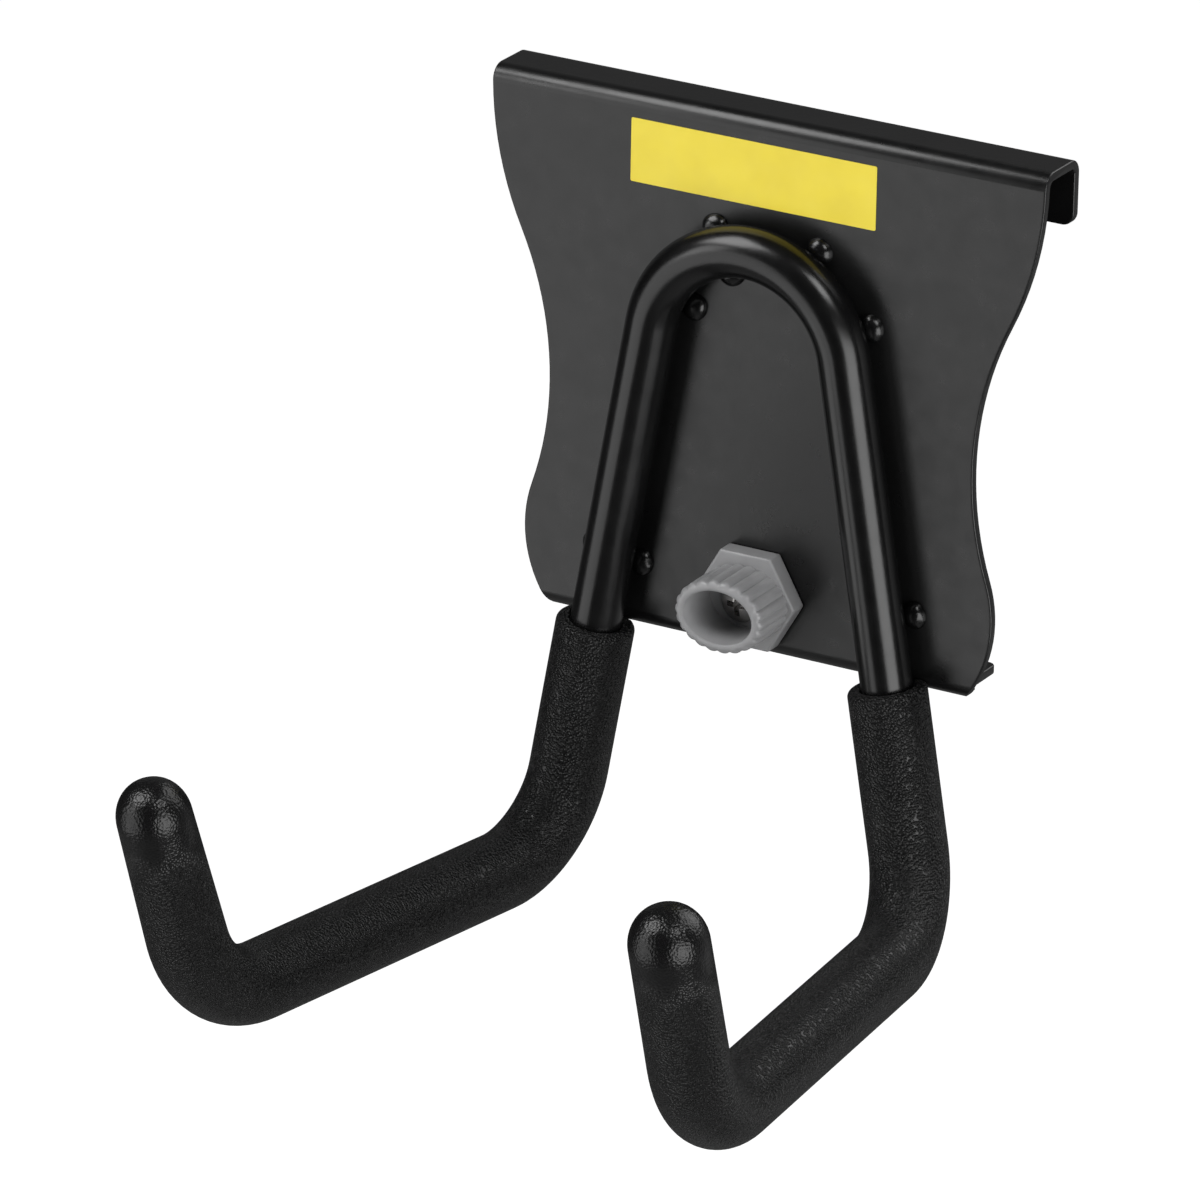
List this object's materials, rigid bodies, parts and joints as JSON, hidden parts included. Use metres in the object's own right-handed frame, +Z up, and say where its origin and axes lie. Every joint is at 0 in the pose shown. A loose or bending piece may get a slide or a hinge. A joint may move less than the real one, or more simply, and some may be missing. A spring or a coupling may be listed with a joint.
{
  "type": "garage utility hook",
  "caption": "Rail-mounted utility hook: folded steel back plate, one welded bent rod with two sleeved, upturned arms, and a quarter-turn lock knob with a cam behind the plate.",
  "frame": {"origin": "middle of the rail seat, the underside of the plate's top fold", "axes": "+X to the user's right, +Y into the wall, so the arms point along -Y, and +Z up"},
  "size_m": [0.1232, 0.1505, 0.1612],
  "materials": {
    "plate_coat": "satin black powder coat",
    "rod_coat": "smooth satin black powder coat",
    "sleeve_rubber": "finely grained black dipped sleeve",
    "knob_plastic": "mid grey moulded plastic",
    "sticker_vinyl": "plain yellow vinyl sticker, left bare",
    "screw_steel": "dark plated steel"
  },
  "bodies": {
    "bracket": {"back_plate": "plate_coat", "hook_rod": "rod_coat", "left_sleeve": "sleeve_rubber", "right_sleeve": "sleeve_rubber", "weld_beads": "rod_coat"},
    "lock": {"lock_knob": "knob_plastic", "lock_cam": "knob_plastic", "lock_screw": "screw_steel"}
  },
  "joints": [
    {"name": "lock_turn", "type": "hinge", "parent": "bracket", "child": "lock", "pos_m": [0, -0.00665, -0.0931], "axis": [0, 1, 0], "range_deg": [0, 90]}
  ]
}
